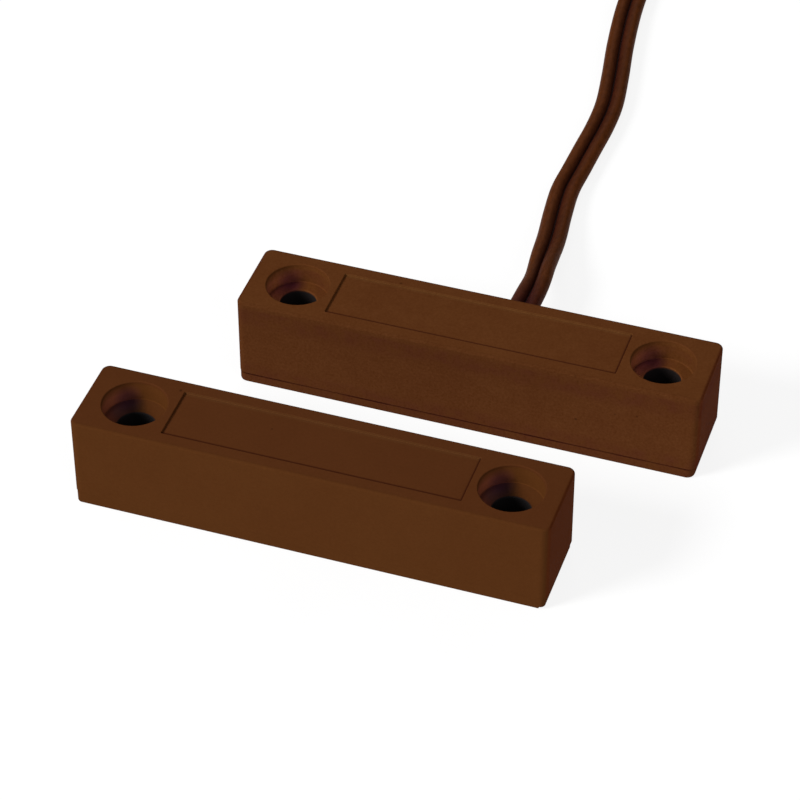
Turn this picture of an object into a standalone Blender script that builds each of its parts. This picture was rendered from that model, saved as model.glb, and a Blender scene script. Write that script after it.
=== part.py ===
"""Door contact sensor: a reed switch unit with its twin lead, and the magnet unit that works it.

+X runs along both units, +Y runs from the magnet unit to the switch unit, +Z points up.
The origin is the centre of the switch unit's mounting face, and both units stand on z = 0.
"""

import math

import bmesh
import bpy
from mathutils import Vector

MM = 0.001

# The two units share one outer shape.
UNIT_LENGTH = 54.08 * MM
UNIT_WIDTH = 10.44 * MM
UNIT_HEIGHT = 11.59 * MM
CORNER_RADIUS = 0.95 * MM
EDGE_RADIUS = 0.3 * MM
WALL = 1.0 * MM
ROOF = 1.25 * MM
DRAFT = 0.08 * MM
SEAM = 0.06 * MM

# Screw holes.
SCREW_PITCH = 42.8 * MM
COUNTERBORE_RADIUS = 3.6 * MM
COUNTERBORE_DEPTH = 2.5 * MM
SCREW_RADIUS = 2.1 * MM
LEDGE = 1.3 * MM
BOSS_RADIUS = 3.2 * MM
BOSS_SHORT = 0.1 * MM
CONE_DEPTH = 0.8 * MM

# The shallow label field on the roof.
LABEL_LENGTH = 33.9 * MM
LABEL_WIDTH = 7.15 * MM
LABEL_DEPTH = 0.25 * MM

# Base plates.
SWITCH_PLATE = 1.3 * MM
MAGNET_PLATE = 1.6 * MM
PLATE_HOLE_RADIUS = 2.3 * MM
LIP_HEIGHT = 0.9 * MM
LIP_WALL = 0.8 * MM
LIP_CLEARANCE = 0.15 * MM
PLATE_EDGE = 0.25 * MM
PLATE_SETBACK = 0.25 * MM

# Where the room between the bosses ends.
ROOM_HALF = 17.2 * MM
POCKET_HALF = 26.0 * MM

# The magnet unit beside the switch unit.
MAGNET_X = -9.83 * MM
MAGNET_Y = -24.87 * MM

# Reed switch.
REED_Y = -1.9 * MM
REED_Z = 6.0 * MM
GLASS_RADIUS = 1.25 * MM
GLASS_WALL = 0.3 * MM
GLASS_HALF = 7.5 * MM
SEAL_LENGTH = 1.3 * MM
LEAD_RADIUS = 0.3 * MM
LEAD_END = 13.4 * MM
BLADE_WIDTH = 1.0 * MM
BLADE_THICK = 0.2 * MM
BLADE_OVERLAP = 0.35 * MM
CONTACT_GAP = 0.1 * MM
FIT_GAP = 0.05 * MM
REED_DAB_X = 5.2 * MM
REED_DAB = (2.6 * MM, 3.5 * MM)

# The joint between a reed lead and its core.
INSULATION_END_X = 9.3 * MM
CONDUCTOR_END_X = 12.7 * MM
SOLDER_X = 11.7 * MM
SOLDER_HALF = (1.0 * MM, 0.82 * MM, 0.56 * MM)
SLEEVE_X = 12.0 * MM
SLEEVE_HALF_LENGTH = 1.85 * MM
SLEEVE_OUTER = (1.2 * MM, 0.92 * MM)
SLEEVE_INNER = (1.0 * MM, 0.72 * MM)

# Twin lead.
CORE_RADIUS = 0.86 * MM
CORE_PITCH = 1.82 * MM
CONDUCTOR_RADIUS = 0.3 * MM
CABLE_X = 1.5 * MM
CABLE_Z = 4.5 * MM
CABLE_FLOOR_Z = 0.89 * MM
SLOT_HALF_WIDTH = 1.98 * MM
SLOT_HALF_HEIGHT = 1.06 * MM

# The coil of the lead, with its tie.
COIL_X = -24.4 * MM
COIL_Y = 106.0 * MM
COIL_INNER = 14.4 * MM
COIL_OUTER = 21.7 * MM
COIL_BOTTOM = 0.4 * MM
COIL_TOP = 4.05 * MM
TIE_THICK = 0.3 * MM
TIE_WIDTH = 2.2 * MM
TIE_CLEARANCE = 0.06 * MM
TIE_HEAD = (3.6 * MM, 3.4 * MM, 1.9 * MM)

# Where the lead leaves the coil inward, and where its two cores part.
TAIL_RADIUS = 12.2
TAIL_END_RADIUS = 6.8
TAIL_START_ANGLE = -172
SPLIT_ANGLE = -38
SPLIT_SWEEP = 72

# Magnet.
MAGNET_LENGTH = 30.0 * MM
MAGNET_SIDE = 6.0 * MM
MAGNET_CHAMFER = 0.3 * MM
ADHESIVE_BED = 0.3 * MM

ROUND_STEPS = 40
SIDES = {"a": -1, "b": 1}


# ---------------------------------------------------------------- materials


def material(name, color, roughness, metallic=0.0):
    mat = bpy.data.materials.new(name)
    mat.use_nodes = True
    mat.diffuse_color = (*color, 1.0)
    shader = mat.node_tree.nodes["Principled BSDF"]
    shader.inputs["Base Color"].default_value = (*color, 1.0)
    shader.inputs["Roughness"].default_value = roughness
    shader.inputs["Metallic"].default_value = metallic
    return mat


def brown_plastic(name):
    return material(name, (0.084, 0.026, 0.008), 0.55)


def clear_glass(name):
    return material(name, (0.55, 0.72, 0.62), 0.05)


def nickel_iron(name):
    return material(name, (0.55, 0.53, 0.50), 0.3, 1.0)


def brown_insulation(name):
    return material(name, (0.060, 0.016, 0.008), 0.45)


def copper(name):
    return material(name, (0.75, 0.36, 0.20), 0.35, 1.0)


def solder(name):
    return material(name, (0.62, 0.62, 0.64), 0.3, 1.0)


def black_sleeve(name):
    return material(name, (0.012, 0.012, 0.013), 0.5)


def silicone(name):
    return material(name, (0.60, 0.60, 0.56), 0.4)


def ferrite(name):
    return material(name, (0.045, 0.045, 0.050), 0.6, 0.3)


def foam(name):
    return material(name, (0.03, 0.03, 0.03), 0.95)


def white_nylon(name):
    return material(name, (0.70, 0.69, 0.65), 0.45)


# ---------------------------------------------------------------- modelling tools


def clear_scene():
    for obj in list(bpy.data.objects):
        bpy.data.objects.remove(obj, do_unlink=True)


def add_object(name, data, mat=None):
    obj = bpy.data.objects.new(name, data)
    bpy.context.scene.collection.objects.link(obj)
    if mat:
        obj.data.materials.append(mat)
    return obj


def finish_mesh(name, bm, mat=None, sharp_angle=35):
    bmesh.ops.remove_doubles(bm, verts=bm.verts, dist=0.00000005)
    bmesh.ops.recalc_face_normals(bm, faces=bm.faces)
    mesh = bpy.data.meshes.new(name)
    bm.to_mesh(mesh)
    bm.free()
    mesh.shade_smooth()
    mesh.set_sharp_from_angle(angle=math.radians(sharp_angle))
    return add_object(name, mesh, mat)


def rounded_rectangle(half_x, half_y, radius, steps=6):
    """The outline's (x, y) points, counterclockwise, with steps + 1 points on each corner's arc."""
    points = []
    corners = ((1, 1, 0), (-1, 1, 90), (-1, -1, 180), (1, -1, 270))
    for sign_x, sign_y, start in corners:
        for step in range(steps + 1):
            angle = math.radians(start + 90 * step / steps)
            x = sign_x * (half_x - radius) + radius * math.cos(angle)
            y = sign_y * (half_y - radius) + radius * math.sin(angle)
            points.append((x, y))
    return points


def loft(name, loops, mat=None):
    """A closed solid through loops with equal numbers of points, capped at both ends."""
    bm = bmesh.new()
    rings = [[bm.verts.new(point) for point in loop] for loop in loops]
    count = len(rings[0])
    for low, high in zip(rings, rings[1:]):
        for i in range(count):
            j = (i + 1) % count
            bm.faces.new((low[i], low[j], high[j], high[i]))
    bm.faces.new(list(reversed(rings[0])))
    bm.faces.new(rings[-1])
    return finish_mesh(name, bm, mat)


def rounded_block(name, size, center, radius, mat=None, steps=6, bottom_edge=0.0, top_edge=0.0):
    """An upright block with rounded vertical edges and, if asked, rounded or cut rims."""
    half_x, half_y, half_z = (s / 2 for s in size)
    levels = [(-half_z, bottom_edge)]
    if bottom_edge:
        levels.append((-half_z + bottom_edge, 0.0))
    if top_edge:
        arc = (0, 30, 60, 90)
        for angle in map(math.radians, arc):
            height = half_z - top_edge * (1 - math.sin(angle))
            levels.append((height, top_edge * (1 - math.cos(angle))))
    else:
        levels.append((half_z, 0.0))
    loops = []
    for height, inset in levels:
        outline = rounded_rectangle(half_x - inset, half_y - inset, max(radius - inset, 0.00002), steps)
        loops.append([(center[0] + x, center[1] + y, center[2] + height) for x, y in outline])
    return loft(name, loops, mat)


def turned(name, profile, center, mat=None, axis="Z", steps=ROUND_STEPS, closed=False):
    """A solid turned about an axis, from (radius, height) points; closed profiles make rings."""
    bm = bmesh.new()
    verts = []
    for radius, height in profile:
        point = (radius, 0, height) if axis == "Z" else (height, 0, radius)
        verts.append(bm.verts.new(point))
    edges = [bm.edges.new(pair) for pair in zip(verts, verts[1:])]
    if closed:
        edges.append(bm.edges.new((verts[-1], verts[0])))
    turn_axis = (0, 0, 1) if axis == "Z" else (1, 0, 0)
    bmesh.ops.spin(
        bm,
        geom=verts + edges,
        cent=(0, 0, 0),
        axis=turn_axis,
        angle=2 * math.pi,
        steps=steps,
        use_merge=True,
    )
    bmesh.ops.translate(bm, verts=bm.verts, vec=Vector(center))
    return finish_mesh(name, bm, mat)


def rod(name, start, end, radius, mat=None, steps=16):
    """A plain round bar between two points."""
    start, end = Vector(start), Vector(end)
    direction = end - start
    side = direction.orthogonal().normalized()
    up = direction.cross(side).normalized()
    loops = []
    for center in (start, end):
        loop = []
        for i in range(steps):
            angle = 2 * math.pi * i / steps
            loop.append(center + radius * (side * math.cos(angle) + up * math.sin(angle)))
        loops.append(loop)
    return loft(name, loops, mat)


def cut(obj, cutter, operation="DIFFERENCE"):
    """Cuts one object with another, which then only guides the shape."""
    modifier = obj.modifiers.new(cutter.name, "BOOLEAN")
    modifier.operation = operation
    modifier.solver = "EXACT"
    modifier.object = cutter
    cutter.hide_render = True
    cutter.display_type = "WIRE"
    return obj


def even_shading(obj):
    """Keeps flat faces looking flat beside the rounded ones."""
    modifier = obj.modifiers.new("even_shading", "WEIGHTED_NORMAL")
    modifier.mode = "FACE_AREA"
    modifier.weight = 100
    return obj


def smooth_route(points, spacing):
    """Points about that far apart on one smooth curve through the given points."""
    points = [Vector(p) for p in points]
    ends = [2 * points[0] - points[1], *points, 2 * points[-1] - points[-2]]
    fine = []
    for before, start, end, after in zip(ends, ends[1:], ends[2:], ends[3:]):
        pieces = 12
        for k in range(pieces):
            t = k / pieces
            fine.append(
                0.5
                * (
                    2 * start
                    + (end - before) * t
                    + (2 * before - 5 * start + 4 * end - after) * t * t
                    + (3 * start - before - 3 * end + after) * t * t * t
                )
            )
    fine.append(points[-1])
    lengths = [0.0]
    for start, end in zip(fine, fine[1:]):
        lengths.append(lengths[-1] + (end - start).length)
    count = max(2, round(lengths[-1] / spacing) + 1)
    route = []
    index = 0
    for k in range(count):
        at = lengths[-1] * k / (count - 1)
        while index < len(lengths) - 2 and lengths[index + 1] < at:
            index += 1
        share = (at - lengths[index]) / (lengths[index + 1] - lengths[index])
        route.append(fine[index].lerp(fine[index + 1], share))
    return route


def beside(route, offset):
    """The route moved sideways, level, to its right when the offset is positive."""
    moved = []
    for i, point in enumerate(route):
        along = route[min(i + 1, len(route) - 1)] - route[max(i - 1, 0)]
        side = Vector((along.y, -along.x, 0)).normalized()
        moved.append(point + side * offset)
    return moved


def tube(name, route, radius, mat):
    """A round cord along the route, as a curve with filled ends."""
    curve = bpy.data.curves.new(name, "CURVE")
    curve.dimensions = "3D"
    curve.bevel_depth = radius
    curve.bevel_resolution = 2
    curve.use_fill_caps = True
    spline = curve.splines.new("POLY")
    spline.points.add(len(route) - 1)
    for point, place_at in zip(spline.points, route):
        point.co = (*place_at, 1.0)
    spline.use_smooth = True
    return add_object(name, curve, mat)


# ---------------------------------------------------------------- housings and plates


def housing(name, mat, plate, seat_is_cone, openings=()):
    """The moulded shell: walls, roof with label field, wall openings, and two screw bosses."""
    bottom = plate + SEAM
    height = UNIT_HEIGHT - bottom
    size = (UNIT_LENGTH, UNIT_WIDTH, height)
    shell = rounded_block(
        name, size, (0, 0, bottom + height / 2), CORNER_RADIUS, mat, steps=6, top_edge=EDGE_RADIUS
    )
    inner_half_width = UNIT_WIDTH / 2 - WALL
    below = bottom - 1.0 * MM
    ledge_bottom = UNIT_HEIGHT - COUNTERBORE_DEPTH - LEDGE
    room_top = UNIT_HEIGHT - ROOF
    pockets = rounded_block(
        name + "_pockets",
        (2 * POCKET_HALF, 2 * inner_half_width, ledge_bottom - below),
        (0, 0, (ledge_bottom + below) / 2),
        0.5 * MM,
        steps=3,
    )
    room_bottom = ledge_bottom - 0.5 * MM
    room = rounded_block(
        name + "_room",
        (2 * ROOM_HALF, 2 * (inner_half_width - DRAFT), room_top - room_bottom),
        (0, 0, (room_top + room_bottom) / 2),
        0.5 * MM,
        steps=3,
    )
    label = rounded_block(
        name + "_label",
        (LABEL_LENGTH, LABEL_WIDTH, 2 * LABEL_DEPTH),
        (0, 0, UNIT_HEIGHT),
        0.1 * MM,
        steps=2,
    )
    for cutter in (pockets, room, label, *openings):
        cut(shell, cutter)
    foot = bottom + BOSS_SHORT
    boss_top = ledge_bottom + 0.4 * MM
    boss_profile = [(0, foot), (BOSS_RADIUS, foot), (BOSS_RADIUS, boss_top), (0, boss_top)]
    cut(shell, at_both_screws(name + "_bosses", boss_profile), "UNION")
    cut(shell, at_both_screws(name + "_holes", screw_hole_profile(seat_is_cone)))
    return even_shading(shell)


def screw_hole_profile(seat_is_cone):
    """Half the outline of a counterbored screw hole, with a flat seat or a shallow conical one."""
    seat = UNIT_HEIGHT - COUNTERBORE_DEPTH
    throat = seat - CONE_DEPTH if seat_is_cone else seat
    top = UNIT_HEIGHT + 1.0 * MM
    bottom = -1.0 * MM
    profile = [(0, bottom), (SCREW_RADIUS, bottom), (SCREW_RADIUS, throat)]
    profile += [(COUNTERBORE_RADIUS, seat), (COUNTERBORE_RADIUS, top), (0, top)]
    return profile


def at_both_screws(name, profile):
    """The same turned solid at both screw places."""
    solid = turned(name, profile, (-SCREW_PITCH / 2, 0, 0))
    bm = bmesh.new()
    bm.from_mesh(solid.data)
    copied = bmesh.ops.duplicate(bm, geom=bm.verts[:] + bm.edges[:] + bm.faces[:])
    moved = [item for item in copied["geom"] if isinstance(item, bmesh.types.BMVert)]
    bmesh.ops.translate(bm, verts=moved, vec=(SCREW_PITCH, 0, 0))
    bm.to_mesh(solid.data)
    bm.free()
    return solid


def base_plate(name, mat, thickness, grow_left, grow_right, corner, rebates=()):
    """The closing plate: its ends may stand proud of the housing or behind it."""
    length = UNIT_LENGTH + grow_left + grow_right
    center_x = (grow_right - grow_left) / 2
    plate = rounded_block(
        name,
        (length, UNIT_WIDTH, thickness),
        (center_x, 0, thickness / 2),
        corner,
        mat,
        steps=6,
        bottom_edge=PLATE_EDGE,
    )
    lip_half_x = ROOM_HALF - LIP_CLEARANCE
    lip_half_y = UNIT_WIDTH / 2 - WALL - LIP_CLEARANCE
    lip_bottom = thickness / 2
    lip_top = thickness + LIP_HEIGHT
    lip = rounded_block(
        name + "_lip",
        (2 * lip_half_x, 2 * lip_half_y, lip_top - lip_bottom),
        (0, 0, (lip_top + lip_bottom) / 2),
        0.4 * MM,
        steps=3,
    )
    cut(plate, lip, "UNION")
    for rebate in rebates:
        cut(plate, rebate)
    well_half_x = lip_half_x - LIP_WALL
    well_half_y = lip_half_y - LIP_WALL
    well = rounded_block(
        name + "_well",
        (2 * well_half_x, 2 * well_half_y, 2 * LIP_HEIGHT),
        (0, 0, thickness + LIP_HEIGHT),
        0.3 * MM,
        steps=3,
    )
    cut(plate, well)
    over = thickness + 1.0 * MM
    under = -1.0 * MM
    hole_profile = [(0, under), (PLATE_HOLE_RADIUS, under), (PLATE_HOLE_RADIUS, over), (0, over)]
    cut(plate, at_both_screws(name + "_holes", hole_profile))
    return even_shading(plate)


def cable_slot_cutter():
    """A flat rounded bar along Y, where the twin lead passes the back wall."""
    outline = rounded_rectangle(SLOT_HALF_WIDTH, SLOT_HALF_HEIGHT, SLOT_HALF_HEIGHT * 0.98, steps=6)
    loops = []
    for y in (UNIT_WIDTH / 2 - 2 * WALL, UNIT_WIDTH / 2 + WALL):
        loops.append([(CABLE_X + x, y, CABLE_Z + z) for x, z in outline])
    return loft("cable_slot", loops)


def switch_housing():
    mat = brown_plastic("switch_housing_abs")
    return housing("switch_housing", mat, SWITCH_PLATE, False, [cable_slot_cutter()])


def switch_base_plate():
    mat = brown_plastic("switch_plate_abs")
    return base_plate("switch_base_plate", mat, SWITCH_PLATE, -0.05 * MM, -PLATE_SETBACK, CORNER_RADIUS)


def magnet_housing():
    return housing("magnet_housing", brown_plastic("magnet_housing_abs"), MAGNET_PLATE, True)


def magnet_base_plate():
    """The magnet unit's plate stops a little short of both ends and is rebated under the right end."""
    rebate_depth = 0.65 * MM
    rebate_height = 0.4 * MM
    rebate = rounded_block(
        "magnet_plate_rebate",
        (2 * rebate_depth, 2 * UNIT_WIDTH, 2 * rebate_height),
        (UNIT_LENGTH / 2 - PLATE_SETBACK, 0, 0),
        0.05 * MM,
        steps=1,
    )
    mat = brown_plastic("magnet_plate_abs")
    return base_plate("magnet_base_plate", mat, MAGNET_PLATE, -0.2 * MM, -PLATE_SETBACK, 0.6 * MM, [rebate])


# ---------------------------------------------------------------- reed switch


def reed_glass_capsule():
    """A glass tube with domed ends, open only where a lead passes."""
    bore = LEAD_RADIUS + FIT_GAP
    outer = [(bore, -GLASS_HALF)]
    inner = [(bore, -GLASS_HALF + SEAL_LENGTH)]
    dome = 1.0 * MM
    for angle in map(math.radians, (0, 30, 60, 90)):
        grow = (GLASS_RADIUS - 0.6 * MM) * math.sin(angle)
        outer.append((0.6 * MM + grow, -GLASS_HALF + dome * (1 - math.cos(angle))))
    inner_radius = GLASS_RADIUS - GLASS_WALL
    inner.append((inner_radius * 0.8, -GLASS_HALF + SEAL_LENGTH + 0.25 * MM))
    inner.append((inner_radius, -GLASS_HALF + SEAL_LENGTH + 0.7 * MM))
    profile = outer + [(r, -h) for r, h in reversed(outer)]
    profile += [(r, -h) for r, h in inner] + [(r, h) for r, h in reversed(inner)]
    mat = clear_glass("reed_glass")
    return turned(
        "reed_glass_capsule", profile, (0, REED_Y, REED_Z), mat, axis="X", steps=20, closed=True
    )


def reed_lead(key):
    """The round outer lead, from inside the glass seal to the solder joint."""
    side = SIDES[key]
    start = (side * (GLASS_HALF - SEAL_LENGTH + 0.2 * MM), REED_Y, REED_Z)
    end = (side * LEAD_END, REED_Y, REED_Z)
    return rod(f"reed_lead_{key}", start, end, LEAD_RADIUS, nickel_iron(f"reed_lead_{key}_nife"), steps=12)


def blade_root_x():
    return GLASS_HALF - SEAL_LENGTH - 0.1 * MM


def reed_blade(key):
    """The flat springy strip inside the glass; its origin is at its root, on its bending axis."""
    side = SIDES[key]
    root = blade_root_x()
    rise = -side * (CONTACT_GAP + BLADE_THICK) / 2
    sections = [
        (0.0, 0.46 * MM, 0.34 * MM, 0.0),
        (0.6 * MM, 0.5 * MM, 0.34 * MM, 0.0),
        (1.4 * MM, BLADE_WIDTH, BLADE_THICK, rise * 0.3),
        (root - 1.0 * MM, BLADE_WIDTH, BLADE_THICK, rise),
        (root + BLADE_OVERLAP, BLADE_WIDTH, BLADE_THICK, rise),
    ]
    loops = []
    for reach, width, thick, lift in sections:
        outline = rounded_rectangle(width / 2, thick / 2, 0.04 * MM, steps=1)
        loops.append([(-side * reach, y, lift + z) for y, z in outline])
    blade = loft(f"reed_blade_{key}", loops, nickel_iron(f"reed_blade_{key}_nife"))
    blade.location = (side * root, REED_Y, REED_Z)
    return blade


def reed_adhesive(key):
    """A dab of silicone between the capsule and the roof."""
    side = SIDES[key]
    top = UNIT_HEIGHT - ROOF - FIT_GAP
    bottom = REED_Z - 0.9 * MM
    x = side * REED_DAB_X
    dab = rounded_block(
        f"reed_adhesive_{key}",
        (*REED_DAB, top - bottom),
        (x, REED_Y, (top + bottom) / 2),
        0.9 * MM,
        silicone(f"reed_adhesive_{key}_silicone"),
        steps=4,
        bottom_edge=0.3 * MM,
    )
    bore_radius = GLASS_RADIUS + FIT_GAP
    start = (x - 2.0 * MM, REED_Y, REED_Z)
    end = (x + 2.0 * MM, REED_Y, REED_Z)
    return cut(dab, rod(f"reed_adhesive_{key}_bore", start, end, bore_radius, steps=24))


# ---------------------------------------------------------------- wiring inside the housing


def core_start_x(key):
    return CABLE_X + SIDES[key] * CORE_PITCH / 2


def insulation_end(key):
    return Vector((SIDES[key] * INSULATION_END_X, -0.35 * MM, REED_Z))


def wire_core(key):
    """An insulated core, from the cable slot to its stripped end beside the reed lead."""
    side = SIDES[key]
    x = core_start_x(key)
    end = insulation_end(key)
    route = [
        (x, 4.6 * MM, CABLE_Z),
        (x, 3.6 * MM, CABLE_Z),
        (x, 2.6 * MM, CABLE_Z),
        (x + side * 0.9 * MM, 1.6 * MM, CABLE_Z + 0.2 * MM),
        (x + side * 2.6 * MM, 1.1 * MM, CABLE_Z + 0.6 * MM),
        (side * 6.3 * MM, 0.85 * MM, REED_Z - 0.4 * MM),
        (side * 8.0 * MM, 0.2 * MM, REED_Z - 0.1 * MM),
        end,
    ]
    route = smooth_route(route, 0.9 * MM)
    return tube(f"wire_core_{key}", route, CORE_RADIUS, brown_insulation(f"wire_core_{key}_pvc"))


def lap_y():
    return REED_Y + 2 * LEAD_RADIUS + 2 * FIT_GAP


def conductor(key):
    """The stripped copper end, which runs beside the reed lead through the solder."""
    side = SIDES[key]
    start = insulation_end(key) + Vector((side * 0.06 * MM, 0, 0))
    route = [
        start,
        (side * 9.9 * MM, -0.6 * MM, REED_Z),
        (side * 10.5 * MM, lap_y(), REED_Z),
        (side * 11.4 * MM, lap_y(), REED_Z),
        (side * CONDUCTOR_END_X, lap_y(), REED_Z),
    ]
    route = smooth_route(route, 0.35 * MM)
    return tube(f"conductor_{key}", route, CONDUCTOR_RADIUS, copper(f"conductor_{key}_copper"))


def solder_joint(key):
    """A bead of solder round the reed lead and the conductor beside it."""
    side = SIDES[key]
    center_y = (REED_Y + lap_y()) / 2
    bm = bmesh.new()
    bmesh.ops.create_uvsphere(bm, u_segments=12, v_segments=8, radius=1.0)
    bmesh.ops.scale(bm, vec=SOLDER_HALF, verts=bm.verts)
    bmesh.ops.translate(bm, vec=(side * SOLDER_X, center_y, REED_Z), verts=bm.verts)
    bead = finish_mesh(f"solder_joint_{key}", bm, solder(f"solder_joint_{key}_tin"))
    for what, y in (("lead", REED_Y), ("conductor", lap_y())):
        start = (side * (SOLDER_X - 1.5 * MM), y, REED_Z)
        end = (side * (SOLDER_X + 1.5 * MM), y, REED_Z)
        cut(bead, rod(f"solder_{key}_{what}_bore", start, end, LEAD_RADIUS + FIT_GAP, steps=12))
    return bead


def shrink_sleeve(key):
    """An oval sleeve shrunk over the solder joint."""
    side = SIDES[key]
    center_y = (REED_Y + lap_y()) / 2
    inside_end = side * SLEEVE_X - SLEEVE_HALF_LENGTH
    outside_end = side * SLEEVE_X + SLEEVE_HALF_LENGTH
    steps = 24

    def ellipse(x, half_y, half_z):
        loop = []
        for i in range(steps):
            angle = 2 * math.pi * i / steps
            loop.append((x, center_y + half_y * math.cos(angle), REED_Z + half_z * math.sin(angle)))
        return loop

    bm = bmesh.new()
    sections = [
        ellipse(inside_end, *SLEEVE_OUTER),
        ellipse(outside_end, *SLEEVE_OUTER),
        ellipse(outside_end, *SLEEVE_INNER),
        ellipse(inside_end, *SLEEVE_INNER),
    ]
    rings = [[bm.verts.new(point) for point in section] for section in sections]
    for k, ring in enumerate(rings):
        following = rings[(k + 1) % len(rings)]
        for i in range(steps):
            j = (i + 1) % steps
            bm.faces.new((ring[i], ring[j], following[j], following[i]))
    return finish_mesh(f"shrink_sleeve_{key}", bm, black_sleeve(f"shrink_sleeve_{key}_polyolefin"))


def cable_adhesive_plug():
    """The bead inside the wall that seals the slot and holds both cores."""
    back = UNIT_WIDTH / 2 - WALL - FIT_GAP
    depth = 1.2 * MM
    outline = rounded_rectangle(2.9 * MM, 1.9 * MM, 1.2 * MM, steps=4)
    rim = rounded_rectangle(2.5 * MM, 1.5 * MM, 0.9 * MM, steps=4)
    loops = [
        [(CABLE_X + x, back - depth, CABLE_Z + z) for x, z in rim],
        [(CABLE_X + x, back - depth + 0.4 * MM, CABLE_Z + z) for x, z in outline],
        [(CABLE_X + x, back, CABLE_Z + z) for x, z in outline],
    ]
    plug = loft("cable_adhesive_plug", loops, silicone("cable_plug_silicone"))
    for key in SIDES:
        x = core_start_x(key)
        start = (x, back - depth - 0.5 * MM, CABLE_Z)
        end = (x, back + 0.5 * MM, CABLE_Z)
        cut(plug, rod(f"cable_plug_bore_{key}", start, end, CORE_RADIUS + 0.03 * MM, steps=16))
    return plug


# ---------------------------------------------------------------- the lead outside the housing


def cable_route():
    """The twin lead's middle line: out of the slot, down to the floor, and away to its coil."""
    floor = CABLE_FLOOR_Z
    points = [
        (1.50 * MM, 4.9 * MM, CABLE_Z),
        (1.50 * MM, 8.5 * MM, 4.42 * MM),
        (1.55 * MM, 13.5 * MM, 4.05 * MM),
        (1.40 * MM, 19.0 * MM, 3.35 * MM),
        (0.74 * MM, 24.5 * MM, 2.43 * MM),
        (0.17 * MM, 29.5 * MM, 1.65 * MM),
        (-0.66 * MM, 35.0 * MM, 1.08 * MM),
        (-1.18 * MM, 40.0 * MM, floor + 0.02 * MM),
        (-1.05 * MM, 44.5 * MM, floor),
        (-0.90 * MM, 49.0 * MM, floor),
        (-0.72 * MM, 54.0 * MM, floor),
        (-0.90 * MM, 59.0 * MM, floor),
        (-1.80 * MM, 65.0 * MM, floor),
        (-3.05 * MM, 72.0 * MM, floor),
        (-4.15 * MM, 80.0 * MM, floor),
        (-4.60 * MM, 87.0 * MM, floor + 0.09 * MM),
        (-4.60 * MM, 93.7 * MM, floor + 0.21 * MM),
    ]
    return smooth_route(points, 3.2 * MM)


def cable_core(key):
    route = beside(cable_route(), SIDES[key] * CORE_PITCH / 2)
    return tube(f"cable_core_{key}", route, CORE_RADIUS, brown_insulation(f"cable_core_{key}_pvc"))


def cable_coil():
    """The outer shape of the wound-up turns."""
    soft = 0.7 * MM
    profile = [
        (COIL_INNER, COIL_BOTTOM + soft),
        (COIL_INNER + soft, COIL_BOTTOM),
        (COIL_OUTER - soft, COIL_BOTTOM),
        (COIL_OUTER, COIL_BOTTOM + soft),
        (COIL_OUTER, COIL_TOP - soft),
        (COIL_OUTER - soft, COIL_TOP),
        (COIL_INNER + soft, COIL_TOP),
        (COIL_INNER, COIL_TOP - soft),
    ]
    mat = brown_insulation("cable_coil_pvc")
    return turned("cable_coil", profile, (COIL_X, COIL_Y, 0), mat, steps=40, closed=True)


def cable_tie():
    """A strap round the bundle of turns, on the far side of the coil, with its head on top."""
    middle = (COIL_INNER + COIL_OUTER) / 2
    half_width = (COIL_OUTER - COIL_INNER) / 2 + TIE_CLEARANCE + 0.1 * MM
    half_height = (COIL_TOP - COIL_BOTTOM) / 2 + TIE_CLEARANCE
    center_z = (COIL_TOP + COIL_BOTTOM) / 2
    inner_corner = 0.5 * MM
    inner = rounded_rectangle(half_width, half_height, inner_corner, steps=3)
    outer_corner = inner_corner + TIE_THICK
    outer = rounded_rectangle(half_width + TIE_THICK, half_height + TIE_THICK, outer_corner, steps=3)
    bm = bmesh.new()
    sections = []
    for outline, x in ((outer, -1), (outer, 1), (inner, 1), (inner, -1)):
        place_x = COIL_X + x * TIE_WIDTH / 2
        sections.append([(place_x, COIL_Y + middle + y, center_z + z) for y, z in outline])
    rings = [[bm.verts.new(point) for point in section] for section in sections]
    count = len(rings[0])
    for k, ring in enumerate(rings):
        following = rings[(k + 1) % len(rings)]
        for i in range(count):
            j = (i + 1) % count
            bm.faces.new((ring[i], ring[j], following[j], following[i]))
    strap = finish_mesh("cable_tie", bm, white_nylon("cable_tie_nylon"))
    strap_top = center_z + half_height + TIE_THICK
    head_y = COIL_Y + middle - 0.9 * MM
    sunk = 0.12 * MM
    head_z = strap_top - sunk + TIE_HEAD[2] / 2
    head = rounded_block("cable_tie_head", TIE_HEAD, (COIL_X, head_y, head_z), 0.4 * MM, steps=3)
    cut(strap, head, "UNION")
    stub_size = (2.0 * MM, 0.5 * MM, 1.4 * MM)
    stub_z = strap_top + TIE_HEAD[2] + 0.1 * MM
    stub = rounded_block("cable_tie_stub", stub_size, (COIL_X, head_y + 0.3 * MM, stub_z), 0.1 * MM, steps=1)
    return cut(strap, stub, "UNION")


def tail_route(key):
    """Inside the coil the lead lies on the floor, and then its two cores part."""
    side = SIDES[key]
    places = []
    leading_turns = 6
    for step in range(leading_turns):
        share = step / leading_turns
        places.append((TAIL_START_ANGLE + (SPLIT_ANGLE - TAIL_START_ANGLE) * share, TAIL_RADIUS, 0.0))
    parting_turns = 5
    for step in range(parting_turns + 1):
        share = step / parting_turns
        radius = TAIL_RADIUS + (TAIL_END_RADIUS - TAIL_RADIUS) * share
        places.append((SPLIT_ANGLE + SPLIT_SWEEP * share, radius, (1.5 * share) ** 1.5))
    points = []
    for degrees, radius, parted in places:
        angle = math.radians(degrees)
        reach = radius * MM + side * (CORE_PITCH / 2 + parted * MM)
        points.append((COIL_X + reach * math.cos(angle), COIL_Y + reach * math.sin(angle), CABLE_FLOOR_Z))
    return smooth_route(points, 2.0 * MM)


def cable_tail(key):
    mat = brown_insulation(f"cable_tail_{key}_pvc")
    return tube(f"cable_tail_{key}", tail_route(key), CORE_RADIUS, mat)


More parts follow.
